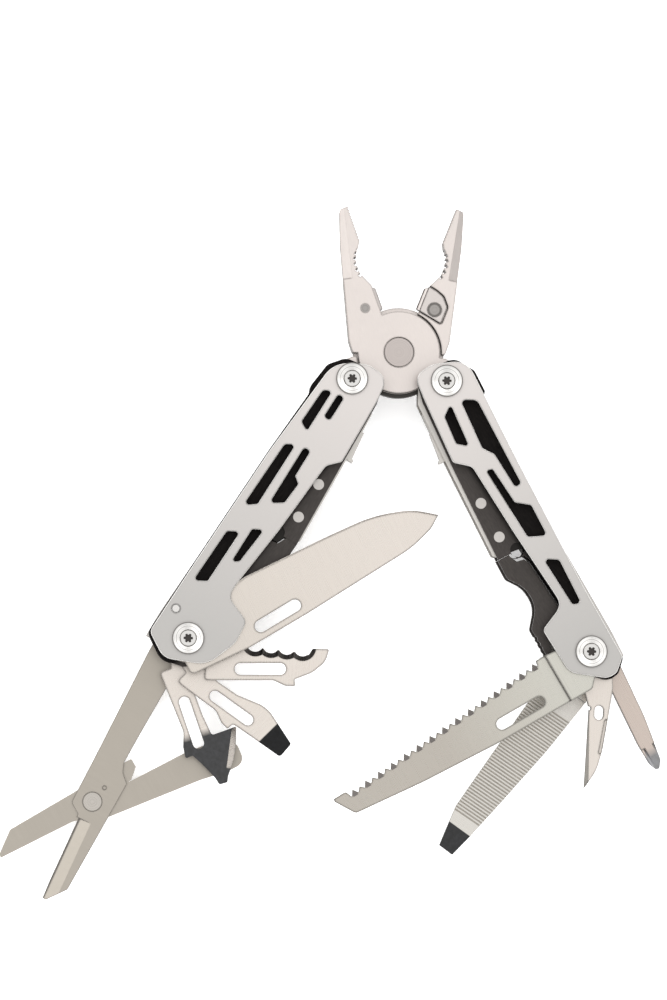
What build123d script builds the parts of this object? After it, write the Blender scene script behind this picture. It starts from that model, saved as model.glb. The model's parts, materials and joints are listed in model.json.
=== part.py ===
"""Multi tool: needle-nose pliers on two folding handles that carry ten folding tools.

The tool lies flat on the rims of its four rear pivot washers, front side up.  It is drawn with
the handles spread and every folding tool fanned out.  Z runs through the thickness, the pliers
point along +Y, and the origin is the middle of the footprint on the surface it rests on.
"""
from build123d import *
import math
import os

os.makedirs("parts", exist_ok=True)

FRONT = 1
REAR = -1

# ---- driving dimensions (mm, degrees) ----
PIVOT_SPAN = 88.0            # handle: plier pivot to tool pivot
TANG_X = 9.8                 # plier tang pivot, from the head rivet, jaws closed
TANG_Y = -12.6
JAW_FRONT_TURN = 19.4        # how far each jaw stands open
JAW_REAR_TURN = -21.6
LEFT_HANDLE_DIR = 237.9      # direction from plier pivot to tool pivot
RIGHT_HANDLE_DIR = -61.8

RIM_RISE = 0.7               # pivot washers stand proud of the scales
SCALE_T = 1.2
TOOL_LAYER = 3.1             # room for a long folding tool between liner and scale
LINER_T = 1.1
WALL_T = 0.8
CHANNEL_GAP = 7.6            # inside width of each handle channel
GAP = 0.1                    # side play of each moving piece

# The long tools have tangs as thick as their layer.  Their blades are thinner, so that a blade
# of one handle passes over or under the blades of the other.
KNIFE_T = 1.6
SAW_T = 1.2
FILE_T = 1.25
SHEET_T = 0.75               # each half of the scissors
SHEET_PLAY = 0.05

WALL_IN = CHANNEL_GAP / 2
LINER_IN = WALL_IN + WALL_T
TOOL_IN = LINER_IN + LINER_T
SCALE_IN = TOOL_IN + TOOL_LAYER
SCALE_OUT = SCALE_IN + SCALE_T
RIM_OUT = SCALE_OUT + RIM_RISE
MID = RIM_OUT                # height of the middle plane above the resting surface

PIN_R = 1.9                  # both handle pins
RUN_FIT = 0.05               # radial clearance of a piece that turns on a pin
HEAD_RIVET_R = 4.1
RING_GAP = 0.28              # visible groove round the head rivet
JAW_HALF_T = 3.7
LAP_GAP = 0.02
DISC_FRONT_R = 11.75
DISC_REAR_R = 13.0
FRONT_DISC_PLAY = 0.6         # open groove round the front lap disc
REAR_DISC_PLAY = 0.15


# ---- small helpers ----
def corner_arc(before, here, after, radius):
    """Start, middle and end of the arc that rounds one corner of an outline."""
    ax, ay = before[0] - here[0], before[1] - here[1]
    bx, by = after[0] - here[0], after[1] - here[1]
    la, lb = math.hypot(ax, ay), math.hypot(bx, by)
    ax, ay, bx, by = ax / la, ay / la, bx / lb, by / lb
    half = math.acos(max(-1.0, min(1.0, ax * bx + ay * by))) / 2
    reach = min(radius / math.tan(half), 0.48 * la, 0.48 * lb)
    radius = reach * math.tan(half)
    mx, my = ax + bx, ay + by
    lm = math.hypot(mx, my)
    depth = radius / math.sin(half) - radius
    start = (here[0] + ax * reach, here[1] + ay * reach)
    middle = (here[0] + mx / lm * depth, here[1] + my / lm * depth)
    end = (here[0] + bx * reach, here[1] + by * reach)
    return start, middle, end


def outline(points):
    """A closed face from points (x, y) or (x, y, corner radius)."""
    count = len(points)
    edges = []
    starts = []
    for i in range(count):
        here = points[i]
        if len(here) == 3 and here[2] > 0:
            start, middle, end = corner_arc(points[i - 1], here, points[(i + 1) % count], here[2])
            starts.append((start, end))
            edges.append(ThreePointArc(start, middle, end))
        else:
            starts.append((here[:2], here[:2]))
    for i in range(count):
        leave, arrive = starts[i][1], starts[(i + 1) % count][0]
        if math.dist(leave, arrive) > 1e-6:
            edges.append(Line(leave, arrive))
    return make_face(edges)


def between(side, inner, outer):
    """Heights of a layer given by its distances from the middle plane."""
    low, high = sorted((MID + side * inner, MID + side * outer))
    return low, high


def slab(points, heights):
    return extrude(Pos(0, 0, heights[0]) * outline(points), heights[1] - heights[0], dir=(0, 0, 1))


def disc(x, y, radius, heights):
    return Pos(x, y, (heights[0] + heights[1]) / 2) * Cylinder(radius, heights[1] - heights[0])


def round_slot(x0, y0, x1, y1, radius, heights):
    """A straight slot with round ends between two centres."""
    length = math.dist((x0, y0), (x1, y1))
    turn = math.degrees(math.atan2(y1 - y0, x1 - x0))
    middle = Pos((x0 + x1) / 2, (y0 + y1) / 2, (heights[0] + heights[1]) / 2)
    face = SlotCenterToCenter(length, 2 * radius)
    bar = extrude(face, (heights[1] - heights[0]) / 2, both=True)
    return middle * Rot(0, 0, turn) * bar


def bevel_block(x, y, z, along, tilt, length, depth=8.0):
    """A block whose lower face slopes down to the left of a line, for grinding a bevel."""
    block = Pos(length / 2, depth / 2, depth / 2) * Box(length, depth, depth)
    return Pos(x, y, z) * Rot(0, 0, along) * Rot(-tilt, 0, 0) * block


def polar(radius, degrees):
    return radius * math.cos(math.radians(degrees)), radius * math.sin(math.radians(degrees))


def turned(x, y, degrees):
    c, s = math.cos(math.radians(degrees)), math.sin(math.radians(degrees))
    return x * c - y * s, x * s + y * c


EVERYTHING = (0.0, 2 * MID)
pieces = {}


# ---- where the pivots are, with the head rivet at (0, 0) ----
RIGHT_PLIER = turned(TANG_X, TANG_Y, JAW_FRONT_TURN)
LEFT_PLIER = turned(-TANG_X, TANG_Y, JAW_REAR_TURN)
_reach = polar(PIVOT_SPAN, RIGHT_HANDLE_DIR)
RIGHT_TOOL = (RIGHT_PLIER[0] + _reach[0], RIGHT_PLIER[1] + _reach[1])
_reach = polar(PIVOT_SPAN, LEFT_HANDLE_DIR)
LEFT_TOOL = (LEFT_PLIER[0] + _reach[0], LEFT_PLIER[1] + _reach[1])


# ---- jaws: drawn closed, nose on the left, tip along +Y ----
NOSE = [
    (-0.06, 44.6), (-0.06, 34.2), (-1.0, 32.6), (-2.3, 30.8), (-3.2, 28.2, 2.5), (-3.1, 25.2, 2.5),
    (-1.9, 22.6), (-1.1, 20.9), (-1.1, 11.0), (-1.1, 0.0), (-11.2, 3.8), (-12.6, 4.3, 0.6),
    (-12.5, 8.0, 3.0), (-9.0, 21.9), (-5.7, 34.8), (-2.7, 44.0, 0.8), (-2.2, 44.6, 0.4),
]
TANG_ARM = [(8.6, -4.4), (12.0, -6.2, 0.8), (15.2, -9.4), (14.6, -15.6), (4.2, -15.6), (2.6, -9.0)]
TANG_R = 6.1
INSERT = [
    (0.0, 13.5, 0.5), (0.0, 19.9, 0.7), (-1.3, 20.8, 0.4), (-3.6, 20.4), (-5.9, 19.6, 2.0),
    (-8.1, 17.2, 1.5), (-8.1, 12.2, 0.4), (-4.0, 12.9),
]
INSERT_SCREW = (-5.0, 15.2)
SCREW_HEAD_R = 1.95
SCREW_HEAD_T = 0.8


def tip_teeth():
    """V cuts across the flat grip of the nose, and coarser ones in its round grip."""
    cuts = []
    for i in range(11):
        cuts.append(Pos(-0.06, 34.9 + 0.9 * i, MID) * Rot(0, 0, 45) * Box(0.38, 0.38, 12))
    for i in range(7):
        angle = 205 - 38 * i / 2
        x = -0.2 + 3.3 * math.cos(math.radians(angle))
        y = 26.9 + 5.2 * math.sin(math.radians(angle))
        cuts.append(Pos(x, y, MID) * Rot(0, 0, 45) * Box(0.85, 0.85, 12))
    return cuts


def jaw(lap_side):
    """One jaw with its lap disc on the given side."""
    lap = between(lap_side, LAP_GAP, JAW_HALF_T)
    other = between(lap_side, -JAW_HALF_T, LAP_GAP)
    own_r = DISC_FRONT_R if lap_side == FRONT else DISC_REAR_R
    other_r = DISC_REAR_R + REAR_DISC_PLAY if lap_side == FRONT else DISC_FRONT_R + FRONT_DISC_PLAY
    arm = slab(TANG_ARM, lap) + disc(TANG_X, TANG_Y, TANG_R, lap)
    half = slab(NOSE, lap) + disc(0, 0, own_r, lap) + arm
    arm_other = slab(TANG_ARM, other) + disc(TANG_X, TANG_Y, TANG_R, other)
    rest = slab(NOSE, other) + arm_other
    rest = rest - disc(0, 0, other_r, other)
    body = half + rest
    for side in (FRONT, REAR):
        z = MID + side * JAW_HALF_T
        cut = bevel_block(-5.6, 24.6, z, 77.5, 33, 24, 9)
        if side == REAR:
            cut = mirror(cut, about=Plane(origin=(0, 0, z), z_dir=(0, 0, 1)))
        body = body - cut
    body = body - tip_teeth()
    insert_side = -lap_side
    pocket = between(insert_side, 0.9, JAW_HALF_T)
    pocket_face = offset(outline(INSERT), 0.45 if insert_side == FRONT else 0.02)
    body = body - extrude(Pos(0, 0, pocket[0]) * pocket_face, pocket[1] - pocket[0], dir=(0, 0, 1))
    body = body - disc(TANG_X, TANG_Y, PIN_R + RUN_FIT, EVERYTHING)
    body = body - disc(*INSERT_SCREW, 1.3, EVERYTHING)
    return body


def rivet_hole(clear):
    hole = disc(0, 0, 2.6 + clear, EVERYTHING)
    for side in (FRONT, REAR):
        groove = between(side, JAW_HALF_T - 1.5, RIM_OUT)
        hole = hole + disc(0, 0, HEAD_RIVET_R + RING_GAP, groove)
    return hole


def cutter(lap_side):
    """Replaceable cutter plate: a thick plate ground to an edge along the closing line."""
    inner = 0.9
    heights = between(-lap_side, inner, JAW_HALF_T)
    plate = slab(INSERT, heights)
    plate = plate - disc(*INSERT_SCREW, 1.3, EVERYTHING)
    head = between(-lap_side, JAW_HALF_T - SCREW_HEAD_T, JAW_HALF_T)
    plate = plate - disc(*INSERT_SCREW, SCREW_HEAD_R + 0.08, head)
    top = MID - lap_side * JAW_HALF_T
    grind = Pos(0, 16.7, top) * Rot(0, 38 * -lap_side, 0) * Box(1.5, 9, 2.6)
    return plate - grind


def cutter_screw(lap_side):
    """Flush screw: its broad head is let into the plate, its shank ends flush in the jaw."""
    shank = disc(*INSERT_SCREW, 1.3, between(lap_side, -JAW_HALF_T, JAW_HALF_T))
    head = between(-lap_side, JAW_HALF_T - SCREW_HEAD_T, JAW_HALF_T)
    return shank + disc(*INSERT_SCREW, SCREW_HEAD_R, head)


FRONT_JAW_AT = Rot(0, 0, JAW_FRONT_TURN)
REAR_JAW_AT = Rot(0, 0, JAW_REAR_TURN)


def as_rear(solid):
    return REAR_JAW_AT * mirror(solid, about=Plane.YZ)


pieces["jaw_front"] = FRONT_JAW_AT * (jaw(FRONT) - rivet_hole(0.0))
pieces["jaw_rear"] = as_rear(jaw(REAR) - rivet_hole(RUN_FIT))
pieces["cutter_insert_front"] = FRONT_JAW_AT * cutter(FRONT)
pieces["cutter_insert_rear"] = as_rear(cutter(REAR))
pieces["cutter_screw_front"] = FRONT_JAW_AT * cutter_screw(FRONT)
pieces["cutter_screw_rear"] = as_rear(cutter_screw(REAR))


def head_rivet():
    shank = disc(0, 0, 2.6, between(FRONT, -JAW_HALF_T, JAW_HALF_T))
    for side in (FRONT, REAR):
        shank = shank + disc(0, 0, HEAD_RIVET_R, between(side, JAW_HALF_T - 1.5, JAW_HALF_T))
    return shank


pieces["head_rivet"] = head_rivet()

# ---- handles: drawn with the plier pivot at (0, 0), the tool pivot at (88, 0), inner side +Y ----
LEFT = {
    "name": "left",
    "scale": [
        (-6.0, 1.6, 6), (-5.6, 8.6, 4), (2.0, 9.6, 8), (21.8, 10.3, 1.6), (25.2, 7.0, 2.5), (48.0, 5.5),
        (67.0, 3.5, 6), (71.8, 3.4, 4), (75.0, 11.6, 2.5), (82.0, 12.2, 8), (91.6, 8.6, 8),
        (96.6, -3.0, 5), (92.2, -10.4, 2.5), (70.0, -10.0, 40), (30.0, -9.0, 40), (-1.0, -6.9, 8),
    ],
    "slots": [
        [(5.9, 1.0, 0.9), (13.6, 1.0, 0.9), (13.6, -1.0, 0.9), (5.9, -1.0, 0.9)],
        [(6.0, -2.9, 0.9), (19.7, -2.9, 0.6), (18.2, -5.7, 1.0), (7.3, -5.3, 1.2)],
        [(24.0, 1.0, 0.9), (32.4, 1.1, 0.5), (33.9, 3.1, 0.7), (40.4, 2.6, 1.0), (42.9, -1.0, 0.8),
         (24.0, -1.1, 0.9)],
        [(24.6, -3.6, 0.9), (44.9, -3.7, 0.8), (47.3, -7.0, 0.8), (26.3, -6.3, 1.2)],
        [(50.2, 1.8, 0.7), (61.6, 0.7, 0.9), (62.8, -1.2, 0.7), (51.9, -1.2, 0.8)],
        [(54.3, -3.7, 0.8), (71.2, -4.0, 0.8), (73.2, -7.6, 0.8), (56.2, -7.0, 1.0)],
    ],
    "liner": [
        (-5.4, 1.6, 5), (-5.0, 8.0, 4), (2.0, 9.9, 5), (22.0, 10.7), (48.6, 12.0), (48.6, 7.3),
        (50.1, 6.2, 0.5), (50.8, 4.2), (53.0, 3.2), (77.0, 1.6, 1.0), (82.0, 8.4), (89.4, 8.8, 6),
        (95.6, 3.4, 3), (97.2, -3.4, 5), (92.8, -10.7, 2.5), (70.0, -10.3, 30), (30.0, -9.3, 30),
        (9.6, -8.2, 0.8), (7.6, -9.0, 0.8), (0.0, -8.2, 3), (-4.5, -4.6, 4),
    ],
    "notch": (48.5, 5.4, 2.1),
    "bar": [
        (48.65, 12.0), (58.0, 11.7, 1.5), (62.2, 9.0, 8), (69.0, 9.0, 8), (73.6, 11.6, 1.0),
        (81.4, 11.7, 0.6), (81.4, 9.2), (76.4, 2.6, 0.8), (54.0, 4.1), (51.6, 5.0), (51.2, 7.2),
        (48.65, 8.4),
    ],
    "tab": (74.6, 11.5, 81.0),
    "wall": [
        (-4.6, 1.6, 5), (-4.0, 7.4, 4), (2.0, 9.9), (24.0, 11.3), (46.8, 12.4), (47.8, 11.4, 0.5),
        (48.2, 8.2, 0.3), (50.8, 7.0, 0.3), (51.2, 5.0, 0.5), (51.6, 2.8, 1.0),
        (77.0, 0.4, 2), (84.0, 6.4, 2),
        (92.0, 5.2, 4), (94.0, -3.4, 5), (90.8, -9.6, 2), (70.0, -9.4), (57.0, -9.2),
        (30.0, -8.2), (-1.0, -5.9, 7),
    ],
    "web": (5.0, 10.3, 19.9, 11.4),
    "spring_o": -9.1,
    "rivets": [(30.6, 8.1), (41.6, 8.2)],
    "stop_pin": (82.7, -7.5),
}
RIGHT = {
    "name": "right",
    "scale": [
        (-6.2, 1.5, 6), (-5.6, 7.6, 4), (2.0, 8.3, 10), (21.6, 9.5, 1.6), (25.2, 5.2, 2.5), (48.0, 3.5),
        (67.0, 1.6, 6), (72.2, 1.2, 4), (76.0, 9.4, 1.6), (90.4, 8.4, 5), (97.0, -0.6, 4),
        (96.8, -3.6, 2.5), (93.4, -7.3, 2), (70.0, -6.8, 40), (30.0, -7.1, 40), (-2.6, -7.9, 6),
    ],
    "slots": [
        [(6.4, 2.2, 0.6), (19.6, 3.2, 0.6), (17.2, 6.1, 1.0), (8.9, 5.4, 0.9)],
        [(6.6, -0.9, 1.0), (21.8, 0.1, 1.6), (25.0, -2.2, 1.5), (36.2, -3.0, 0.9), (36.0, -5.0, 0.9),
         (9.0, -5.1, 2.0)],
        [(28.0, 2.2, 0.7), (50.4, 0.6, 1.0), (52.6, -4.5, 0.8), (42.9, -4.6, 0.9), (40.0, -0.8, 1.0),
         (28.6, 0.3, 0.6)],
        [(58.1, -0.4, 0.8), (73.6, -1.6, 1.2), (74.3, -4.0, 1.0), (60.5, -4.3, 1.2)],
    ],
    "liner": [
        (-5.6, 1.5, 5), (-5.0, 7.2, 4), (2.0, 8.7, 5), (22.0, 9.9), (52.4, 10.9), (52.4, 6.9),
        (54.4, 5.8, 0.8), (54.8, 3.6), (57.0, 2.4), (77.0, 0.4, 1.0), (82.0, 6.6), (89.4, 7.9, 5),
        (97.8, -0.6, 4), (97.4, -4.2, 2.5), (94.0, -7.6, 2), (70.0, -7.1, 30), (30.0, -7.4, 30),
        (8.6, -7.9, 0.6), (7.6, -8.7, 0.6), (1.0, -8.8, 2.5), (-4.8, -5.4, 4),
    ],
    "notch": (52.3, 4.6, 2.1),
    "bar": [
        (52.45, 11.1), (58.4, 11.1, 2.0), (62.8, 7.9, 8), (69.0, 7.4, 8), (74.4, 11.8, 1.5),
        (84.2, 11.6, 0.8), (84.0, 9.9, 0.5), (81.0, 9.4), (76.2, 1.6, 0.8), (58.0, 3.4),
        (55.6, 4.2), (55.2, 6.4), (52.45, 7.7),
    ],
    "tab": (75.2, 11.8, 84.0),
    "wall": [
        (-4.8, 1.5, 5), (-4.0, 6.8, 4), (2.0, 10.1), (24.0, 11.0), (50.6, 11.7), (51.4, 10.8, 0.5),
        (52.6, 2.0, 1.0),
        (77.0, -0.6, 2), (84.0, 5.2, 2),
        (91.6, 4.0, 3), (94.4, -1.6, 3), (92.4, -6.2, 2), (70.0, -5.9), (57.0, -5.9),
        (30.0, -6.1), (-2.6, -6.7, 6),
    ],
    "web": (5.0, 10.3, 19.9, 11.0),
    "spring_o": -6.6,
    "rivets": [(35.6, 7.6), (46.6, 7.5)],
    "stop_pin": None,
}
LEFT["place"] = Pos(LEFT_PLIER[0], LEFT_PLIER[1], 0) * Rot(0, 0, LEFT_HANDLE_DIR)
RIGHT["place"] = Pos(RIGHT_PLIER[0], RIGHT_PLIER[1], 0) * Rot(0, 0, RIGHT_HANDLE_DIR)


def put(handle, solid):
    """Set a piece drawn in the handle's own frame into place, mirrored for the right handle."""
    if handle["name"] == "right":
        solid = mirror(solid, about=Plane.XZ)
    return handle["place"] * solid


def pin_holes(solid, handle, radius=PIN_R):
    solid = solid - disc(0, 0, radius, EVERYTHING) - disc(PIVOT_SPAN, 0, radius, EVERYTHING)
    if handle["stop_pin"]:
        solid = solid - disc(*handle["stop_pin"], 1.3, EVERYTHING)
    return solid


def scale(handle, side):
    """Skeletonised outer plate with lightly broken edges."""
    heights = between(side, SCALE_IN, SCALE_OUT)
    plate = slab(handle["scale"], heights)
    for slot in handle["slots"]:
        plate = plate - slab(slot, heights)
    outer = plate.faces().sort_by(Axis.Z)[-1 if side == FRONT else 0]
    plate = chamfer(outer.edges(), 0.22)
    return pin_holes(plate, handle)


def lock_liner(handle, side):
    heights = between(side, LINER_IN, TOOL_IN)
    plate = slab(handle["liner"], heights) - disc(*handle["notch"], heights)
    for rivet in handle["rivets"]:
        plate = plate - disc(*rivet, 1.55, heights)
    return pin_holes(plate, handle)


def lock_bar(handle, side):
    """Free arm of the lock, with teeth on its thumb tab."""
    heights = between(side, LINER_IN, TOOL_IN)
    plate = slab(handle["bar"], heights) - disc(*handle["notch"], heights)
    start, level, stop = handle["tab"]
    for i in range(4):
        x = start + 1.2 + (stop - start - 2.0) * (i + 0.5) / 4
        plate = plate - disc(x, level + 0.55, 0.85, heights)
    return plate


def channel(handle):
    """Folded sheet frame: two walls joined by a short web beside the plier pivot."""
    both = None
    for side in (FRONT, REAR):
        heights = between(side, WALL_IN, LINER_IN)
        wall = pin_holes(slab(handle["wall"], heights), handle)
        for rivet in handle["rivets"]:
            wall = wall - disc(*rivet, 1.1, heights)
        both = wall if both is None else both + wall
    x0, y0, x1, y1 = handle["web"]
    web = [(x0, y0 - 0.9), (x1, y1 - 0.9), (x1, y1), (x0, y0)]
    both = both + slab(web, between(FRONT, -WALL_IN, WALL_IN))
    finger = [
        (x1 - 9.0, y1 - 1.2), (x1 + 0.1, y1 - 1.2), (x1 + 0.1, y1 + 1.6, 0.3),
        (x1 - 0.5, y1 + 1.6, 0.2), (x1 - 1.0, y1 + 0.9), (x1 - 9.0, y1 - 0.1),
    ]
    return both + slab(finger, between(FRONT, -2.2, 2.2))


def back_spring(handle):
    """Strip along the outer side near the tool pivot; its two fingers bear on the tangs."""
    face = handle["spring_o"]
    strip = [(60.0, face), (86.0, face), (93.6, face + 0.1), (93.6, face - 1.6), (86.0, face - 1.8, 20),
             (60.0, face - 0.9)]
    spring = slab(strip, between(FRONT, -WALL_IN, WALL_IN))
    slit = Pos(83.0, face - 0.4, MID) * Box(24, 4, 0.6)
    spring = spring - slit
    return spring


def six_lobe(x, y, heights):
    recess = disc(x, y, 0.95, heights)
    for i in range(6):
        dx, dy = polar(0.98, 60 * i)
        recess = recess + disc(x + dx, y + dy, 0.38, heights)
    return recess


def pivot_pin(x):
    pin = disc(x, 0, PIN_R, between(FRONT, -SCALE_OUT, SCALE_OUT))
    for side in (FRONT, REAR):
        pin = pin - disc(x, 0, 1.2, between(side, SCALE_OUT - 4.0, SCALE_OUT))
    return pin


def pivot_screws(x):
    """Front and rear screw: flat cap with a six-lobe recess on a short threaded shank."""
    pair = []
    for side in (FRONT, REAR):
        cap = disc(x, 0, 2.3, between(side, SCALE_OUT, SCALE_OUT + 0.6))
        top = cap.faces().sort_by(Axis.Z)[-1 if side == FRONT else 0]
        cap = chamfer(top.edges(), 0.15)
        cap = cap + disc(x, 0, 1.2, between(side, SCALE_OUT - 3.8, SCALE_OUT))
        pair.append(cap - six_lobe(x, 0, between(side, SCALE_OUT + 0.05, RIM_OUT)))
    return Compound(pair)


def pivot_washers(x):
    """Front and rear dished washer: a flat rim and a cone that falls to the screw."""
    pair = []
    for side in (FRONT, REAR):
        ring = disc(x, 0, 4.6, between(side, SCALE_OUT, RIM_OUT))
        ring = ring - disc(x, 0, 2.35, EVERYTHING)
        bowl = Cone(2.35, 4.2, 0.5)
        ring = ring - Pos(x, 0, MID + side * (RIM_OUT - 0.25)) * Rot(90 - 90 * side, 0, 0) * bowl
        pair.append(ring)
    return Compound(pair)


def flat_washers(levels, bore=PIN_R, radius=4.4):
    rings = []
    for low, high in levels:
        ring = disc(PIVOT_SPAN, 0, radius, (MID + low, MID + high))
        rings.append(ring - disc(PIVOT_SPAN, 0, bore, EVERYTHING))
    return Compound(rings)


def liner_rivets(handle):
    """Flush rivets that hold each lock liner to its channel wall."""
    group = []
    for side in (FRONT, REAR):
        for x, y in handle["rivets"]:
            head = disc(x, y, 1.55, between(side, LINER_IN, TOOL_IN))
            group.append(head + disc(x, y, 1.1, between(side, WALL_IN, LINER_IN)))
    return Compound(group)


for handle in (LEFT, RIGHT):
    name = handle["name"]
    for side, word in ((FRONT, "front"), (REAR, "rear")):
        pieces[f"{name}_scale_{word}"] = put(handle, scale(handle, side))
        pieces[f"{name}_lock_liner_{word}"] = put(handle, lock_liner(handle, side))
        pieces[f"{name}_lock_bar_{word}"] = put(handle, lock_bar(handle, side))
    pieces[f"{name}_channel"] = put(handle, channel(handle))
    pieces[f"{name}_back_spring"] = put(handle, back_spring(handle))
    pieces[f"{name}_liner_rivets"] = put(handle, liner_rivets(handle))
    for x, word in ((0.0, "plier"), (PIVOT_SPAN, "tool")):
        pieces[f"{name}_{word}_pin"] = put(handle, pivot_pin(x))
        pieces[f"{name}_{word}_screws"] = put(handle, pivot_screws(x))
        pieces[f"{name}_{word}_washers"] = put(handle, pivot_washers(x))


def stop_pin():
    pin = disc(*LEFT["stop_pin"], 1.3, between(FRONT, -SCALE_OUT + 0.4, SCALE_OUT - 0.4))
    return pin + disc(*LEFT["stop_pin"], 1.08, between(FRONT, -SCALE_OUT, SCALE_OUT))


pieces["left_stop_pin"] = put(LEFT, stop_pin())

# ---- folding tools: drawn with the pivot at (0, 0) and the tip along +X ----
KNIFE_DIR = 26.2
SERRATED_DIR = -5.4
FLAT_DIR = -45.6
CAN_DIR = -71.1
SCISSORS_DIR = 239.8
LEVER_DIR = 210.4
SAW_DIR = 210.3
FILE_DIR = 234.3
AWL_DIR = 267.8
PHILLIPS_DIR = 301.0
SCISSORS_ARM = 54.2          # tool pivot to scissors rivet
RIVET_SHANK_R = 1.5
RIVET_HEAD_R = 2.6
RIVET_HEAD_T = 0.35

TANG = (TOOL_IN + GAP, SCALE_IN - GAP)
SERRATED_Z = (1.5, 3.7)
FLAT_Z = (-1.1, 1.3)
CAN_Z = (-3.7, -1.3)
AWL_Z = (1.3, 3.6)
PHILLIPS_Z = (-3.3, -0.5)
ARM_Z = (-TANG[0] - SHEET_T, -TANG[0])
LEVER_Z = (ARM_Z[0] - SHEET_PLAY - SHEET_T, ARM_Z[0] - SHEET_PLAY)


def level(pair):
    return MID + pair[0], MID + pair[1]


def pivoted(body, radius, heights):
    """Add the round tang and drill the running hole."""
    return body + disc(0, 0, radius, heights) - disc(0, 0, PIN_R + RUN_FIT, EVERYTHING)


def at(pivot, direction, solid):
    return Pos(pivot[0], pivot[1], 0) * Rot(0, 0, direction) * solid


def tip_grind(body, x, y, width, z_pair, slope):
    """Thin both faces of a driver blade towards its end."""
    for z, turn in ((z_pair[1], 1), (z_pair[0], -1)):
        block = Pos(6, 0, 3 * turn) * Box(12, width, 6)
        body = body - Pos(x, y, MID + z) * Rot(0, slope * turn, 0) * block
    return body


def thinned(body, start, heights):
    """Grind away a layer of a blade beyond a distance from the pivot."""
    middle = Pos(start + 50, 0, (heights[0] + heights[1]) / 2)
    return body - middle * Box(100, 60, heights[1] - heights[0])


def knife():
    boss = between(FRONT, *TANG)
    z = (boss[1] - KNIFE_T, boss[1])
    blade = slab([
        (80.0, 0.3), (74.0, 4.9, 30), (63.0, 8.3, 60), (48.0, 8.7, 60), (22.0, 8.7, 4),
        (16.0, 7.4, 4), (12.5, 3.0, 3), (-3.8, 3.0), (-3.8, -9.9, 1.5), (15.0, -10.1), (34.0, -8.6),
        (69.0, -4.9, 30), (76.5, -2.3, 8),
    ], z)
    flats = [f for f in blade.faces() if abs(f.normal_at().Z) > 0.9]
    edge = [e for f in flats for e in f.edges() if e.center().X > 30 and e.center().Y > 1.0]
    blade = chamfer(edge, 0.4)
    blade = blade - round_slot(20.2, -6.0, 31.6, -5.0, 1.75, z) + disc(0, 0, 7.0, z)
    return pivoted(blade, 5.6, boss)


def serrated_cutter():
    z = level(SERRATED_Z)
    blade = slab([
        (40.7, 0.9, 0.4), (36.0, 0.6, 0.4), (34.9, -1.5, 0.3), (34.6, -0.9), (17.2, -0.6),
        (12.0, -1.6), (2.0, 3.0), (2.0, -7.0), (5.8, -7.6), (5.8, -11.3, 0.8), (8.0, -11.2),
        (25.6, -9.5, 2), (29.2, -10.8, 1), (32.0, -10.6, 0.4), (31.6, -8.7, 0.4), (36.6, -6.2, 8),
        (40.0, -2.8, 6),
    ], z)
    for i in range(4):
        x = 19.4 + 4.55 * i
        blade = blade - disc(x, 0.6, 2.45, z)
        blade = blade - Pos(x, 0.6, z[1] - 0.6) * Cone(2.45, 3.85, 1.2)
    blade = blade - round_slot(15.9, -7.2, 27.2, -6.1, 1.7, z)
    return pivoted(blade, 7.2, z)


def flat_driver():
    z = level(FLAT_Z)
    blade = slab([
        (42.4, 0.2, 0.7), (31.4, 2.3, 5), (28.4, 1.9, 5), (21.5, -1.1, 3), (14.0, -2.6, 4),
        (3.0, 2.0), (3.0, -6.5), (6.6, -7.2), (6.6, -10.7, 0.9), (10.0, -10.3), (20.4, -8.6, 4),
        (24.0, -9.9, 1), (26.5, -9.9, 0.4), (26.6, -7.8, 0.9), (28.2, -7.4), (42.8, -4.7, 0.9),
    ], z)
    blade = blade - round_slot(17.3, -5.9, 28.7, -3.9, 1.6, z)
    blade = tip_grind(blade, 35.5, -2, 20, FLAT_Z, 7)
    return pivoted(blade, 7.2, z)


def can_opener():
    z = level(CAN_Z)
    blade = slab([
        (42.7, -2.4, 0.5), (41.0, -1.6, 1.5), (37.2, 1.4, 8), (33.5, 3.3, 8), (28.3, 5.1, 0.3),
        (28.4, -2.3, 0.8), (22.0, -3.0), (14.0, -3.2, 4), (3.0, 2.0), (3.0, -6.5), (6.5, -7.2),
        (6.5, -10.7, 0.9), (25.0, -9.7, 4), (29.0, -11.2, 2), (32.4, -11.6, 0.5),
        (32.2, -9.4, 0.5), (35.5, -7.6, 6), (40.4, -5.3, 2), (42.6, -4.8, 0.6),
    ], z)
    blade = blade - round_slot(16.9, -6.7, 29.4, -6.7, 1.6, z)
    blade = blade - bevel_block(28.0, 4.0, z[1], -26.5, 32, 12, 6)
    return pivoted(blade, 7.2, z)


def scissors_arm():
    z = level(ARM_Z)
    arm = slab([
        (85.3, 2.7, 0.3), (79.6, 6.6, 1.5), (60.0, 6.3), (44.8, 6.0, 0.8), (42.6, 3.4, 1.2),
        (40.0, 2.2, 2.5), (30.0, 2.0), (6.0, 1.8), (0.0, 4.0), (-2.0, -6.0), (2.0, -8.0, 3),
        (9.0, -7.9), (40.0, -6.0), (57.4, -5.1, 1.5), (59.3, -1.8, 0.3), (85.3, 1.6, 0.3),
    ], z)
    arm = arm - bevel_block(86.5, 5.4, z[1], 185.6, 11, 26.8, 9)
    arm = arm - disc(49.0, 1.0, 0.6, (z[1] - 0.4, z[1]))
    arm = arm - disc(SCISSORS_ARM, 0, RIVET_SHANK_R, z)
    arm = arm - disc(SCISSORS_ARM, 0, RIVET_HEAD_R + 0.2, (z[1] - RIVET_HEAD_T, z[1]))
    return pivoted(arm, 7.0, z)


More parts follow.
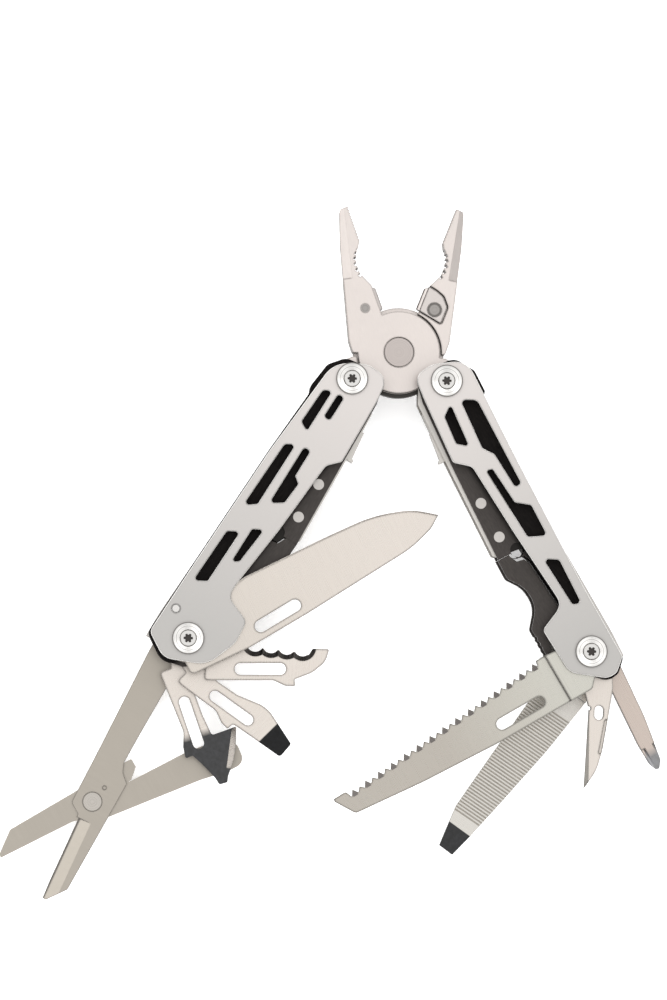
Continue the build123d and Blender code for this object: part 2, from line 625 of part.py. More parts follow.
def scissors_lever():
    z = level(LEVER_Z)
    lever = slab([
        (30.8, 0.7, 0.2), (30.8, -0.4, 0.3), (24.5, -5.0, 1.0), (-3.0, -5.0), (-12.0, 0.4),
        (-30.0, 1.3), (-38.5, 2.6, 3), (-44.6, 5.0, 4), (-43.6, 12.4, 5), (-38.5, 12.2, 4),
        (-30.0, 10.3), (-2.0, 6.2, 4), (7.5, 2.1, 4),
    ], z)
    lever = lever - disc(0, 0, RIVET_SHANK_R + RUN_FIT, z)
    return lever - disc(0, 0, RIVET_HEAD_R + RUN_FIT, (z[0], z[0] + RIVET_HEAD_T + SHEET_PLAY))


def scissors_rivet():
    low, high = MID + LEVER_Z[0], MID + ARM_Z[1]
    shank = disc(0, 0, RIVET_SHANK_R, (low, high))
    front_head = disc(0, 0, RIVET_HEAD_R, (high - RIVET_HEAD_T, high))
    return shank + front_head + disc(0, 0, RIVET_HEAD_R, (low, low + RIVET_HEAD_T))


def scissors_spring():
    return slab([
        (-15.9, -2.4, 0.4), (-12.9, 0.2, 0.3), (-11.9, 0.34), (-4.6, -4.04), (-6.0, -5.6),
        (-12.0, -5.2, 2), (-15.9, -5.0, 0.5),
    ], level((LEVER_Z[0] + 0.1, LEVER_Z[1] - 0.1)))


def saw():
    z = between(FRONT, *TANG)
    pitch = 2.24
    teeth = []
    for i in range(29):
        x = 79.0 - pitch * i
        tip = -0.35 - 0.0795 * (79.0 - x) + (0.0 if i % 2 == 0 else 0.45)
        teeth.append((x + pitch / 2, tip + (1.75 if i % 2 == 0 else 1.3)))
        teeth.append((x, tip))
    blade = slab([
        (85.2, 0.2, 0.3), (85.0, -0.6, 0.3), (81.0, -0.7, 0.8), *teeth, (15.2, -4.0),
        (15.0, -5.6, 0.4), (12.0, -5.7, 0.6), (3.0, -4.6), (-1.0, 3.0), (5.0, 9.4, 1.2),
        (36.0, 9.3, 80), (60.0, 8.1, 80), (81.6, 6.1, 1.5),
    ], z)
    face = z[0] + SAW_T
    blade = thinned(blade, 12.0, (face, z[1]))
    blade = blade - round_slot(20.0, 5.1, 32.4, 5.1, 1.65, z)
    for i in range(0, 29, 2):
        x = 79.0 - pitch * i
        tip = -0.35 - 0.0795 * (79.0 - x)
        facet = Pos(0, -1.5, 1.5) * Box(1.5, 3.0, 3.0)
        blade = blade - Pos(x, tip + 2.1, face) * Rot(28, 0, 0) * facet
    return pivoted(blade, 6.1, z)


def file_blade():
    z = between(REAR, *TANG)
    blade = slab([
        (70.2, 2.6, 0.2), (62.6, 3.7), (50.0, 5.2, 60), (30.0, 7.3, 60), (12.0, 8.2, 3), (2.0, 5.8),
        (2.0, -5.6), (34.0, -5.1, 60), (58.0, -4.8, 6), (62.6, -3.8), (70.1, -2.1, 0.2),
    ], z)
    face = z[0] + FILE_T
    blade = thinned(blade, 12.0, (face, z[1]))
    for i in range(43):
        x = 19.7 + 0.93 * i
        for height in (z[0], face):
            groove = Rot(0, 45, 0) * Box(0.36, 16, 0.36)
            blade = blade - Pos(x, 1.3, height) * Rot(0, 0, 1.5) * groove
    blade = tip_grind(blade, 63.0, 0, 20, (-TANG[1], FILE_T - TANG[1]), 3)
    return pivoted(blade, 6.1, z)


def awl():
    z = level(AWL_Z)
    blade = slab([
        (39.3, -0.1), (34.0, 3.3, 14), (28.0, 4.8, 20), (10.0, 7.2, 3), (6.8, 6.9, 1), (6.3, 5.0),
        (2.0, 5.0), (0.0, -4.0), (5.0, -3.6), (12.5, -0.6, 4), (15.6, 0.3, 0.4), (15.7, 1.0, 0.3),
        (16.6, 1.0, 0.3), (16.7, 0.5),
    ], z)
    blade = blade - round_slot(16.6, 3.4, 18.1, 3.4, 1.3, z)
    blade = blade - bevel_block(40.5, 1.2, z[1], 181.4, 35, 24.0, 6)
    blade = blade - round_slot(19.6, 5.5, 28.8, 4.1, 0.42, (z[1] - 0.6, z[1]))
    return pivoted(blade, 6.1, z)


def phillips_driver():
    z = level(PHILLIPS_Z)
    blade = slab([
        (39.3, 0.4, 0.5), (37.4, 2.0, 1.5), (31.5, 3.1, 3), (24.0, 4.4), (7.0, 6.1, 1), (6.2, 5.0),
        (2.0, 5.0), (0.0, -4.0), (5.0, -3.0), (11.0, 0.3, 4), (30.0, -1.4, 8), (36.6, -1.5, 2),
        (39.0, -0.6, 0.6),
    ], z)
    for height in z:
        for y in (-1.2, 3.2):
            flute = Pos(36.6, y, height) * Rot(0, 90, 0) * Cylinder(0.95, 9)
            blade = blade - flute
    blade = tip_grind(blade, 34.5, 0, 20, PHILLIPS_Z, 7)
    return pivoted(blade, 6.1, z)


pieces["knife"] = at(LEFT_TOOL, KNIFE_DIR, knife())
pieces["serrated_cutter"] = at(LEFT_TOOL, SERRATED_DIR, serrated_cutter())
pieces["flat_driver"] = at(LEFT_TOOL, FLAT_DIR, flat_driver())
pieces["can_opener"] = at(LEFT_TOOL, CAN_DIR, can_opener())
pieces["scissors_arm"] = at(LEFT_TOOL, SCISSORS_DIR, scissors_arm())
_reach = polar(SCISSORS_ARM, SCISSORS_DIR)
SCISSORS_PIVOT = (LEFT_TOOL[0] + _reach[0], LEFT_TOOL[1] + _reach[1])
pieces["scissors_lever"] = at(SCISSORS_PIVOT, LEVER_DIR, scissors_lever())
pieces["scissors_rivet"] = at(SCISSORS_PIVOT, LEVER_DIR, scissors_rivet())
pieces["scissors_spring"] = at(SCISSORS_PIVOT, LEVER_DIR, scissors_spring())
pieces["saw"] = at(RIGHT_TOOL, SAW_DIR, saw())
pieces["file"] = at(RIGHT_TOOL, FILE_DIR, file_blade())
pieces["awl"] = at(RIGHT_TOOL, AWL_DIR, awl())
pieces["phillips_driver"] = at(RIGHT_TOOL, PHILLIPS_DIR, phillips_driver())
left_gaps = [(1.3, 1.5), (-1.3, -1.1), (-SCALE_IN, ARM_Z[0] - SHEET_PLAY)]
right_gaps = [(3.65, 3.8), (-0.45, 1.25), (-3.8, -3.35)]
pieces["left_tool_spacers"] = put(LEFT, flat_washers(left_gaps))
pieces["right_tool_spacers"] = put(RIGHT, flat_washers(right_gaps))

# ---- the origin: middle of the footprint ----
box = Compound(list(pieces.values())).bounding_box()
SHIFT = (-(box.min.X + box.max.X) / 2, -(box.min.Y + box.max.Y) / 2)

if __name__ == "__main__":
    for name, solid in pieces.items():
        export_step(Pos(SHIFT[0], SHIFT[1], 0) * solid, f"parts/{name}.step")
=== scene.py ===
import json
import math
import bpy
from mathutils import Matrix, Vector

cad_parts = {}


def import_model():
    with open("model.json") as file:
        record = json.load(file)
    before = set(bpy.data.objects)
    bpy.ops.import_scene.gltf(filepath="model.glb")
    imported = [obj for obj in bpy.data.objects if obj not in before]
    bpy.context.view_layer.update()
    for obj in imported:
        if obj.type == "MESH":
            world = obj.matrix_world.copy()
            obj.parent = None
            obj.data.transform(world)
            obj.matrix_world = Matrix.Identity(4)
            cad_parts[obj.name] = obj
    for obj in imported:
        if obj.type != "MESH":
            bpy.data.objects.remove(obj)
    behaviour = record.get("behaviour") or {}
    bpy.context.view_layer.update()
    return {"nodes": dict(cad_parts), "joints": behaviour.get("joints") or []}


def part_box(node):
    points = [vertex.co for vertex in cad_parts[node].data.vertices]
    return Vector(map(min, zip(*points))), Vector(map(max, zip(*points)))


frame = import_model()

MM = 0.001

# ---- places taken from the frame ----
JOINTS = {j["name"]: j for j in frame["joints"]}


def pivot(joint):
    return Vector(JOINTS[joint]["pos_m"])


HEAD = pivot("jaw_pivot")
LEFT_TOOL = pivot("knife_fold")
RIGHT_TOOL = pivot("saw_fold")

# directions in which tools, jaws and handles point, in degrees, as the model is drawn
POINTS = {
    "knife": 26.2, "serrated_cutter": -5.4, "flat_driver": -45.6, "can_opener": -71.1,
    "scissors_arm": 239.8, "scissors_lever": 210.4,
    "saw": 210.3, "file": 234.3, "awl": 267.8, "phillips_driver": 301.0,
    "jaw_front": 109.4, "jaw_rear": 68.4, "left": 237.9, "right": -61.8,
}

# ---- colours (linear) ----
BLADE = (0.80, 0.735, 0.672)
BLADE_NEAR = (0.735, 0.675, 0.61)             # the knife's blade near its pivot
# painted shade on the awl's bevel
AWL_BEVEL_SHADE = (0.36, 0.34, 0.31)
# jaws: painted shade on their walls and in their dark outlines
JAW, JAW_WALL_SHADE, JAW_OUTLINE_SHADE = (0.775, 0.71, 0.672), (0.20, 0.185, 0.175), (0.30, 0.27, 0.25)
RIVET = (0.60, 0.54, 0.51)
# cutter inserts: painted shade in their dark outlines
INSERT, INSERT_OUTLINE_SHADE = (0.70, 0.65, 0.62), (0.10, 0.09, 0.085)
CUTTER_SCREW = (0.42, 0.395, 0.375)
SCALE_WARM, SCALE_COOL = (0.70, 0.66, 0.635), (0.52, 0.505, 0.485)
# scales: a painted highlight on the bevels, painted shade on the walls and in the dark outlines
SCALE_BEVEL_HIGHLIGHT, SCALE_WALL_SHADE, SCALE_OUTLINE_SHADE = (0.90, 0.88, 0.85), (0.10, 0.095, 0.09), (0.22, 0.21, 0.20)
# black oxide: painted shade beside the scale, and the lit colour beyond it
OXIDE_SHADED = ((0.010, 0.009, 0.009), (0.018, 0.016, 0.015))
OXIDE_LIT = ((0.058, 0.052, 0.049), (0.078, 0.070, 0.065))
# channel steel, with painted shade on its walls
CHANNEL, CHANNEL_WALL_SHADE = (0.70, 0.67, 0.63), (0.45, 0.43, 0.40)
# stop pin: painted shade in a dark ring round it
STOP_PIN, STOP_PIN_OUTLINE_SHADE = (0.80, 0.78, 0.75), (0.05, 0.05, 0.05)
PLAIN_STEEL = (0.62, 0.59, 0.56)
SHADED_GREY, SCISSORS_RIVET = (0.47, 0.43, 0.375), (0.62, 0.58, 0.53)     # the scissors; their grey is drawn darker as painted shade, since they lie shaded in the handle
FILE = (0.74, 0.71, 0.66)
DRIVER = (0.64, 0.55, 0.49)
SAW_NEAR, SAW_FAR = (0.66, 0.645, 0.58), (0.54, 0.50, 0.445)
TURNED_LIGHT = (0.80, 0.785, 0.76)
# painted shade in the dark outlines along the tools' edges
OUTLINE_SHADE = (0.13, 0.12, 0.11)
GROUND_BEVEL_SHADE = (0.11, 0.10, 0.095)                  # painted shade on the bevelled faces of cutter, saw and driver
SHADE = (0.16, 0.15, 0.14)
LAP_SHADE = (0.07, 0.065, 0.06)
NOTCH_SHADE = (0.03, 0.028, 0.026)
RECESS_SHADE = (0.05, 0.046, 0.043)
# painted shade on the upright walls of the steel parts
DARK_WALL_SHADE = (0.07, 0.066, 0.062)

# how much brighter the light is than the one that the colours are drawn for
LIGHT_GAIN = 1.35

# how level a face is, as the size of its normal's Z: a mask fades between each pair
WALL = (0.35, 0.55)
BEVEL = (0.90, 0.97)
BARE_BEVEL = (0.95, 0.985)
BROKEN_EDGE = (0.80, 0.97)                    # how far the rounded normal agrees with the face's own

# sizes and roughness of the surface's details
LINE, BLADE_LINE = 0.8 * MM, 1.2 * MM         # radius of the Bevel nodes that draw the dark outlines of painted shade
WALL_ROUGH, OXIDE_ROUGH = 0.5, 0.40
GRAIN_DEPTH = 0.05 * MM
RING_DEPTH = 0.04 * MM
RECESS_RADIUS = 1.50 * MM
LAP_RADIUS = 11.85 * MM                       # where the rear lap disc shows past the front one
NOTCH_RADIUS = 3.2 * MM


# ---- small node helpers ----
class Nodes:
    """Builds nodes in one tree."""

    def __init__(self, tree):
        self.tree = tree

    def node(self, kind, **values):
        made = self.tree.nodes.new(kind)
        for key, value in values.items():
            setattr(made, key, value)
        return made

    def link(self, source, target):
        self.tree.links.new(source, target)

    def feed(self, value, target):
        """Give a socket a number, or a link from another socket."""
        if isinstance(value, (int, float)):
            target.default_value = value
        else:
            self.link(value, target)

    def ramp(self, value, stops):
        made = self.node("ShaderNodeValToRGB")
        band = made.color_ramp
        while len(band.elements) < len(stops):
            band.elements.new(0.5)
        for element, (place, colour) in zip(band.elements, stops):
            element.position = place
            element.color = (*colour, 1)
        self.link(value, made.inputs["Fac"])
        return made.outputs["Color"]


class Paint(Nodes):
    """Builds one material's nodes."""

    def __init__(self, name):
        self.material = bpy.data.materials.new(name)
        self.material.use_nodes = True
        super().__init__(self.material.node_tree)
        self.shader = self.tree.nodes["Principled BSDF"]

    def set(self, **values):
        for key, value in values.items():
            self.shader.inputs[key.replace("_", " ")].default_value = value

    def use(self, source, name):
        """Feed one of the shader's sockets."""
        self.link(source, self.shader.inputs[name])

    def now(self, name):
        """What feeds one of the shader's sockets so far."""
        return self.shader.inputs[name].links[0].from_socket

    def coords(self, origin=(0, 0, 0), turn=0.0, stretch=(1, 1, 1)):
        """Object coordinates in metres, with the origin moved and X turned to a direction."""
        source = self.node("ShaderNodeTexCoord")
        shift = self.node("ShaderNodeMapping", vector_type="POINT")
        shift.inputs["Location"].default_value = [-v for v in origin]
        self.link(source.outputs["Object"], shift.inputs["Vector"])
        spin = self.node("ShaderNodeMapping", vector_type="POINT")
        spin.inputs["Rotation"].default_value = (0, 0, -math.radians(turn))
        self.link(shift.outputs["Vector"], spin.inputs["Vector"])
        size = self.node("ShaderNodeMapping", vector_type="POINT")
        size.inputs["Scale"].default_value = stretch
        self.link(spin.outputs["Vector"], size.inputs["Vector"])
        return size.outputs["Vector"]

    def noise(self, vector, scale, detail=4.0, rough=0.6):
        made = self.node("ShaderNodeTexNoise")
        made.inputs["Scale"].default_value = scale
        made.inputs["Detail"].default_value = detail
        made.inputs["Roughness"].default_value = rough
        self.link(vector, made.inputs["Vector"])
        return made.outputs["Fac"]

    def remap(self, value, low, high, to_low, to_high):
        made = self.node("ShaderNodeMapRange")
        made.inputs["From Min"].default_value = low
        made.inputs["From Max"].default_value = high
        made.inputs["To Min"].default_value = to_low
        made.inputs["To Max"].default_value = to_high
        self.link(value, made.inputs["Value"])
        return made.outputs["Result"]

    def mix(self, factor, one, two):
        made = self.node("ShaderNodeMix", data_type="RGBA")
        self.link(factor, made.inputs["Factor"])
        for socket, value in (("A", one), ("B", two)):
            target = [s for s in made.inputs if s.name == socket and s.type == "RGBA"][0]
            if isinstance(value, tuple):
                target.default_value = (*value, 1)
            else:
                self.link(value, target)
        return [s for s in made.outputs if s.type == "RGBA"][0]

    def mix_number(self, factor, one, two):
        made = self.node("ShaderNodeMix", data_type="FLOAT")
        self.feed(factor, made.inputs["Factor"])
        for socket, value in (("A", one), ("B", two)):
            self.feed(value, [s for s in made.inputs if s.name == socket and s.type == "VALUE"][0])
        return made.outputs["Result"]

    def calc(self, operation, *values):
        made = self.node("ShaderNodeMath", operation=operation)
        for value, target in zip(values, made.inputs):
            self.feed(value, target)
        return made.outputs[0]

    def axis(self, vector, which):
        made = self.node("ShaderNodeSeparateXYZ")
        self.link(vector, made.inputs["Vector"])
        return made.outputs[which]

    def reach(self, centre):
        """Distance in metres from the upright line through a centre."""
        length = self.node("ShaderNodeVectorMath", operation="LENGTH")
        self.link(self.coords((centre[0], centre[1], 0), 0, (1, 1, 0)), length.inputs[0])
        return length.outputs["Value"]

    def level(self):
        """1 on level faces, less on sloping ones, 0 on upright walls."""
        normal = self.node("ShaderNodeTexCoord")
        return self.calc("ABSOLUTE", self.axis(normal.outputs["Normal"], "Z"))

    def rim(self, radius):
        """1 along the broken edges of the shape, 0 on its open faces."""
        soft = self.node("ShaderNodeBevel", samples=6)
        soft.inputs["Radius"].default_value = radius
        hard = self.node("ShaderNodeNewGeometry")
        agree = self.node("ShaderNodeVectorMath", operation="DOT_PRODUCT")
        self.link(soft.outputs["Normal"], agree.inputs[0])
        self.link(hard.outputs["Normal"], agree.inputs[1])
        return self.remap(agree.outputs["Value"], *BROKEN_EDGE, 1.0, 0.0)

    def bump(self, height, strength, distance):
        made = self.node("ShaderNodeBump")
        made.inputs["Strength"].default_value = strength
        made.inputs["Distance"].default_value = distance
        self.link(height, made.inputs["Height"])
        self.use(made.outputs["Normal"], "Normal")


def dim(colour):
    """A colour as drawn, brought down for the brightness of the light."""
    return tuple(v / LIGHT_GAIN for v in colour)


def steel(name, tone, rough, grain=(1, 1, 1), scale=4200.0, spread=0.04, bump=0.05, place=(0, 0, 0),
          turn=0.0, wall=DARK_WALL_SHADE, painted_bevel=None, far=None, rim=None):
    """Satin steel with a fine grain.

    tone colours the level faces, wall the upright ones with painted shade and edge the bevelled ones
    with painted light, a highlight on the scales and shade elsewhere. far is (colour, start, end): what
    the face drifts to along X. rim is (colour, radius): a line of painted shade along the shape's edges.
    """
    tone, wall = dim(tone), dim(wall)
    paint = Paint(name)
    paint.set(Metallic=1.0)
    own = paint.coords(place, turn)
    fine = paint.noise(paint.coords(place, turn, grain), scale, 4.0, 0.6)
    broad = paint.noise(own, 60.0, 2.0, 0.5)
    mixed = paint.mix_number(0.35, fine, broad)
    low = tuple(v * (1 - spread) for v in tone)
    high = tuple(min(1.0, v * (1 + spread)) for v in tone)
    face = paint.ramp(mixed, [(0.3, low), (0.7, high)])
    if far:
        colour, start, end = far
        along = paint.remap(paint.axis(own, "X"), start, end, 0.0, 1.0)
        face = paint.mix(along, face, dim(colour))
    level = paint.level()
    # painted shade: the upright walls are coloured dark
    wall_shade_mask = paint.remap(level, *WALL, 1.0, 0.0)
    # painted light on the sloping bevels: bright on the scales, dark on the tools
    if painted_bevel:
        face = paint.mix(paint.remap(level, *BEVEL, 1.0, 0.0), face, dim(painted_bevel))
    # painted shade: a dark line along the shape's edges
    if rim:
        colour, radius = rim
        face = paint.mix(paint.rim(radius), face, dim(colour))
    paint.use(paint.mix(wall_shade_mask, face, wall), "Base Color")
    satin = paint.remap(fine, 0.25, 0.75, rough - 0.04, rough + 0.05)
    paint.use(paint.mix_number(wall_shade_mask, satin, WALL_ROUGH), "Roughness")
    paint.bump(fine, bump, GRAIN_DEPTH)
    return paint


ACROSS = (1.0, 0.03, 0.3)
ALONG = (0.03, 1.0, 0.3)


def blasted(name, place, turn, near, far):
    """Bead-blasted scale: an even fine grain, painted highlights on the bevels, painted shade on the
    walls and in dark outlines, and a slow drift along it.
    """
    return steel(name, near, 0.40, scale=5200.0, spread=0.012, bump=0.03, place=place, turn=turn,
                 painted_bevel=SCALE_BEVEL_HIGHLIGHT, far=(far, 5 * MM, 85 * MM), wall=SCALE_WALL_SHADE,
                 rim=(SCALE_OUTLINE_SHADE, LINE)).material


def blackened_end(paint, turn, origin, start, fade, tone, bare_bevel=False):
    """Give a blade a black-oxide end that starts at a distance from its pivot.

    bare_bevel leaves the sloping faces bright.
    """
    place = paint.coords(origin, turn)
    wander = paint.remap(paint.noise(place, 420.0, 3.0), 0.0, 1.0, -fade * 0.4, fade * 0.4)
    along = paint.calc("ADD", paint.axis(place, "X"), wander)
    mask = paint.remap(along, start - fade, start + fade, 0.0, 1.0)
    if bare_bevel:
        mask = paint.calc("MULTIPLY", mask, paint.remap(paint.level(), *BARE_BEVEL, 0.0, 1.0))
    black = paint.ramp(paint.noise(place, 900.0, 4.0),
                       [(0.3, (tone, tone, tone)), (0.7, (tone * 1.3, tone * 1.3, tone * 1.35))])
    paint.use(paint.mix(mask, paint.now("Base Color"), black), "Base Color")
    paint.use(paint.mix_number(mask, paint.now("Roughness"), OXIDE_ROUGH), "Roughness")
    return paint.material


def black_oxide(name, place, turn, sign, shade_reach):
    """Black oxide with painted shade: darkest by and under the scale, which shades it, and a little
    lighter beyond a set distance from the handle's axis on one side.
    """
    paint = Paint(name)
    paint.set(Metallic=1.0)
    own = paint.coords(place, turn)
    grain = paint.noise(paint.coords(place, turn, (0.2, 1, 1)), 2600.0, 4.0)
    # painted shade: a dark copy of the oxide by the scale and a lit copy beyond it
    oxide_shaded = paint.ramp(grain, [(0.3, dim(OXIDE_SHADED[0])), (0.7, dim(OXIDE_SHADED[1]))])
    oxide_lit = paint.ramp(grain, [(0.3, dim(OXIDE_LIT[0])), (0.7, dim(OXIDE_LIT[1]))])
    start, end = shade_reach - 1.4 * MM, shade_reach + 0.4 * MM
    side = paint.remap(paint.axis(own, "Y"), sign * start, sign * end, 0.0, 1.0)
    paint.use(paint.mix(side, oxide_shaded, oxide_lit), "Base Color")
    paint.use(paint.remap(grain, 0.2, 0.8, OXIDE_ROUGH, OXIDE_ROUGH + 0.12), "Roughness")
    paint.bump(grain, 0.10, GRAIN_DEPTH)
    return paint.material


def turned_steel(name, centres, light=TURNED_LIGHT, rough=0.32, recess=None, groove_shade=()):
    """Lathe-turned steel: fine rings round the nearest centre.

    recess is (middle height, reach): near the axis, faces within that reach of the middle height are the
    screws' driver recesses, darkened with painted shade. grooves are rings of (radius, half width,
    strength) darkened with painted shade.
    """
    paint = Paint(name)
    paint.set(Metallic=1.0)
    nearest = paint.reach(centres[0])
    for centre in centres[1:]:
        nearest = paint.calc("MINIMUM", nearest, paint.reach(centre))
    ring = paint.node("ShaderNodeTexNoise", noise_dimensions="1D")
    ring.inputs["Scale"].default_value = 4200.0
    ring.inputs["Detail"].default_value = 3.0
    paint.link(nearest, ring.inputs["W"])
    light = dim(light)
    dark = tuple(0.84 * v for v in light)
    colour = paint.ramp(ring.outputs["Fac"], [(0.3, dark), (0.7, light)])
    # painted shade in dark rings at the gaps round screw heads and washers
    for radius, width, strength in groove_shade:
        off = paint.calc("ABSOLUTE", paint.calc("SUBTRACT", nearest, radius))
        groove_shade_mask = paint.remap(off, 0.5 * width, width, strength, 0.0)
        colour = paint.mix(groove_shade_mask, colour, dim(SHADE))
    if recess:
        middle, floor_reach = recess
        height = paint.calc("ABSOLUTE", paint.axis(paint.coords((0, 0, middle)), "Z"))
        sunk = paint.remap(height, floor_reach - 0.02 * MM, floor_reach, 1.0, 0.0)
        inside = paint.remap(nearest, RECESS_RADIUS, RECESS_RADIUS + 0.05 * MM, 1.0, 0.0)
        colour = paint.mix(paint.calc("MULTIPLY", sunk, inside), colour, RECESS_SHADE)
    paint.use(colour, "Base Color")
    paint.use(paint.remap(ring.outputs["Fac"], 0.2, 0.8, rough - 0.05, rough + 0.08), "Roughness")
    paint.bump(ring.outputs["Fac"], 0.10, RING_DEPTH)
    return paint.material


def under_lap(paint, radius):
    """Darken the lap disc's lower rim, which lies in the shade of the disc in front of it."""
    outer = paint.remap(paint.reach(HEAD), radius - 0.05 * MM, radius + 0.05 * MM, 0.0, 1.0)
    lower = paint.remap(paint.axis(paint.coords(HEAD), "Y"), -4 * MM, -6 * MM, 0.0, 1.0)
    shaded = paint.calc("MULTIPLY", outer, lower)
    paint.use(paint.mix(shaded, paint.now("Base Color"), dim(LAP_SHADE)), "Base Color")


def shaded_notch(paint, centre):
    """Darken the channel wall that shows through the lock notch."""
    near = paint.remap(paint.reach(centre), NOTCH_RADIUS, NOTCH_RADIUS + 0.8 * MM, 1.0, 0.0)
    paint.use(paint.mix(near, paint.now("Base Color"), dim(NOTCH_SHADE)), "Base Color")
    return paint.material


def assign(node, material):
    thing = frame["nodes"][node]
    if not thing.material_slots:
        thing.data.materials.append(material)
    for slot in thing.material_slots:
        slot.material = material


# ---- materials on the CAD pieces ----
PLIER = {"left": pivot("left_handle_fold"), "right": pivot("right_handle_fold")}
LEAN = {"left": -4.84, "right": 4.9}          # slope of each scale's inner edge
OXIDE_SHADE_REACH = {"left": 9.9 * MM, "right": 8.4 * MM}  # how far from the handle's axis the painted shade beside the scale reaches
SIGN = {"left": 1, "right": -1}               # the side of the axis on which the liner stands out
CENTRES = [PLIER["left"], PLIER["right"], LEFT_TOOL, RIGHT_TOOL]
CAP_LOW, CAP_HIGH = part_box("left_tool_screws")
MIDDLE = (CAP_LOW[2] + CAP_HIGH[2]) / 2
# rings of painted shade: radius, half width and strength
SCREW_GROOVE_SHADE = [(1.7 * MM, 0.3 * MM, 0.9)]
WASHER_GROOVE_SHADE = [(2.35 * MM, 0.16 * MM, 0.9), (3.45 * MM, 0.10 * MM, 0.5), (4.55 * MM, 0.32 * MM, 0.9)]
TURNED = turned_steel("turned_fastener", CENTRES, groove_shade=WASHER_GROOVE_SHADE,
                      recess=(MIDDLE, CAP_HIGH[2] - MIDDLE - 0.1 * MM))
# each lock notch's centre, along the handle from its pivot and out from its axis
NOTCH = {"left": (48.5 * MM, 5.4 * MM), "right": (52.3 * MM, 4.6 * MM)}
PLAIN = steel("plain_steel", PLAIN_STEEL, 0.30).material

for side in ("left", "right"):
    along = POINTS[side]
    scale_steel = blasted(side + "_scale_steel", PLIER[side], along, SCALE_WARM, SCALE_COOL)
    oxide = black_oxide(side + "_black_oxide", PLIER[side], along + LEAN[side], SIGN[side], OXIDE_SHADE_REACH[side])
    for face in ("front", "rear"):
        assign(f"{side}_scale_{face}", scale_steel)
        assign(f"{side}_lock_liner_{face}", oxide)
        assign(f"{side}_lock_bar_{face}", oxide)
    channel = steel(side + "_channel_steel", CHANNEL, 0.30, wall=CHANNEL_WALL_SHADE)
    out_to_notch = Vector((NOTCH[side][0], SIGN[side] * NOTCH[side][1], 0))
    notch = PLIER[side] + Matrix.Rotation(math.radians(along), 3, "Z") @ out_to_notch
    assign(side + "_channel", shaded_notch(channel, notch))
    assign(side + "_back_spring", PLAIN)
    assign(side + "_liner_rivets", PLAIN)
    for what in ("plier_pin", "plier_screws", "plier_washers", "tool_pin", "tool_screws", "tool_washers",
                 "tool_spacers"):
        assign(f"{side}_{what}", TURNED)
STOP_STEEL = steel("stop_pin_steel", STOP_PIN, 0.28, rim=(STOP_PIN_OUTLINE_SHADE, 0.3 * MM))
assign("left_stop_pin", STOP_STEEL.material)

for jaw in ("jaw_front", "jaw_rear"):
    paint = steel(jaw + "_steel", JAW, 0.34, grain=(0.10, 1.0, 1.0), scale=4600.0, place=HEAD,
                  turn=POINTS[jaw], wall=JAW_WALL_SHADE, rim=(JAW_OUTLINE_SHADE, LINE))
    if jaw == "jaw_rear":
        under_lap(paint, LAP_RADIUS)
    assign(jaw, paint.material)
INSERT_STEEL = steel("insert_steel", INSERT, 0.33, wall=SHADE, rim=(INSERT_OUTLINE_SHADE, LINE)).material
assign("cutter_insert_front", INSERT_STEEL)
assign("cutter_insert_rear", INSERT_STEEL)
assign("head_rivet", turned_steel("rivet_steel", [HEAD], RIVET, 0.34))
for node in ("cutter_screw_front", "cutter_screw_rear"):
    low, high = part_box(node)
    middle = ((low[0] + high[0]) / 2, (low[1] + high[1]) / 2, 0)
    assign(node, turned_steel(node + "_steel", [middle], CUTTER_SCREW, 0.28, groove_shade=SCREW_GROOVE_SHADE))


def blade(node, origin, tone=BLADE, grain=ACROSS, far=None, rough=0.28, painted_bevel=None, outline=BLADE_LINE):
    return steel(node + "_steel", tone, rough, grain=grain, scale=3800.0, spread=0.010, bump=0.006,
                 place=origin, turn=POINTS[node], far=far, painted_bevel=painted_bevel, rim=(OUTLINE_SHADE, outline))


SCISSORS = pivot("scissors_lever_squeeze")
assign("knife", blade("knife", LEFT_TOOL, BLADE_NEAR, far=(BLADE, 10 * MM, 60 * MM)).material)
assign("serrated_cutter", blade("serrated_cutter", LEFT_TOOL, painted_bevel=GROUND_BEVEL_SHADE).material)
assign("awl", blade("awl", RIGHT_TOOL, grain=ALONG, painted_bevel=AWL_BEVEL_SHADE, outline=0.9 * MM).material)
DRIVER_PAINT = blade("phillips_driver", RIGHT_TOOL, DRIVER, ALONG, painted_bevel=GROUND_BEVEL_SHADE, outline=LINE)
assign("phillips_driver", blackened_end(DRIVER_PAINT, POINTS["phillips_driver"], RIGHT_TOOL, 34.0 * MM,
                                        1.2 * MM, 0.17))
assign("saw", blade("saw", RIGHT_TOOL, SAW_NEAR, far=(SAW_FAR, 10 * MM, 50 * MM), painted_bevel=GROUND_BEVEL_SHADE).material)
assign("scissors_arm", blade("scissors_arm", LEFT_TOOL, SHADED_GREY, rough=0.32, outline=0.6 * MM).material)
LEVER_PAINT = steel("scissors_lever_steel", SHADED_GREY, 0.32, grain=ACROSS, scale=3800.0, spread=0.025,
                    bump=0.035, place=SCISSORS, turn=POINTS["scissors_lever"])
assign("scissors_lever", LEVER_PAINT.material)
assign("scissors_spring", LEVER_PAINT.material)
assign("scissors_rivet", turned_steel("scissors_rivet_steel", [SCISSORS], SCISSORS_RIVET, 0.24))
# tools with a blackened end: pivot, steel, outline, where the black starts, its fade and its tone
for node, origin, steel_tone, outline, start, fade, tone in (
    ("flat_driver", LEFT_TOOL, BLADE, BLADE_LINE, 35.4 * MM, 0.15 * MM, 0.016),
    ("can_opener", LEFT_TOOL, BLADE, BLADE_LINE, 27.0 * MM, 1.1 * MM, 0.044),
    ("file", RIGHT_TOOL, FILE, 0.15 * MM, 62.8 * MM, 0.08 * MM, 0.032),
):
    paint = blade(node, origin, steel_tone, outline=outline)
    assign(node, blackened_end(paint, POINTS[node], origin, start, fade, tone, node == "can_opener"))


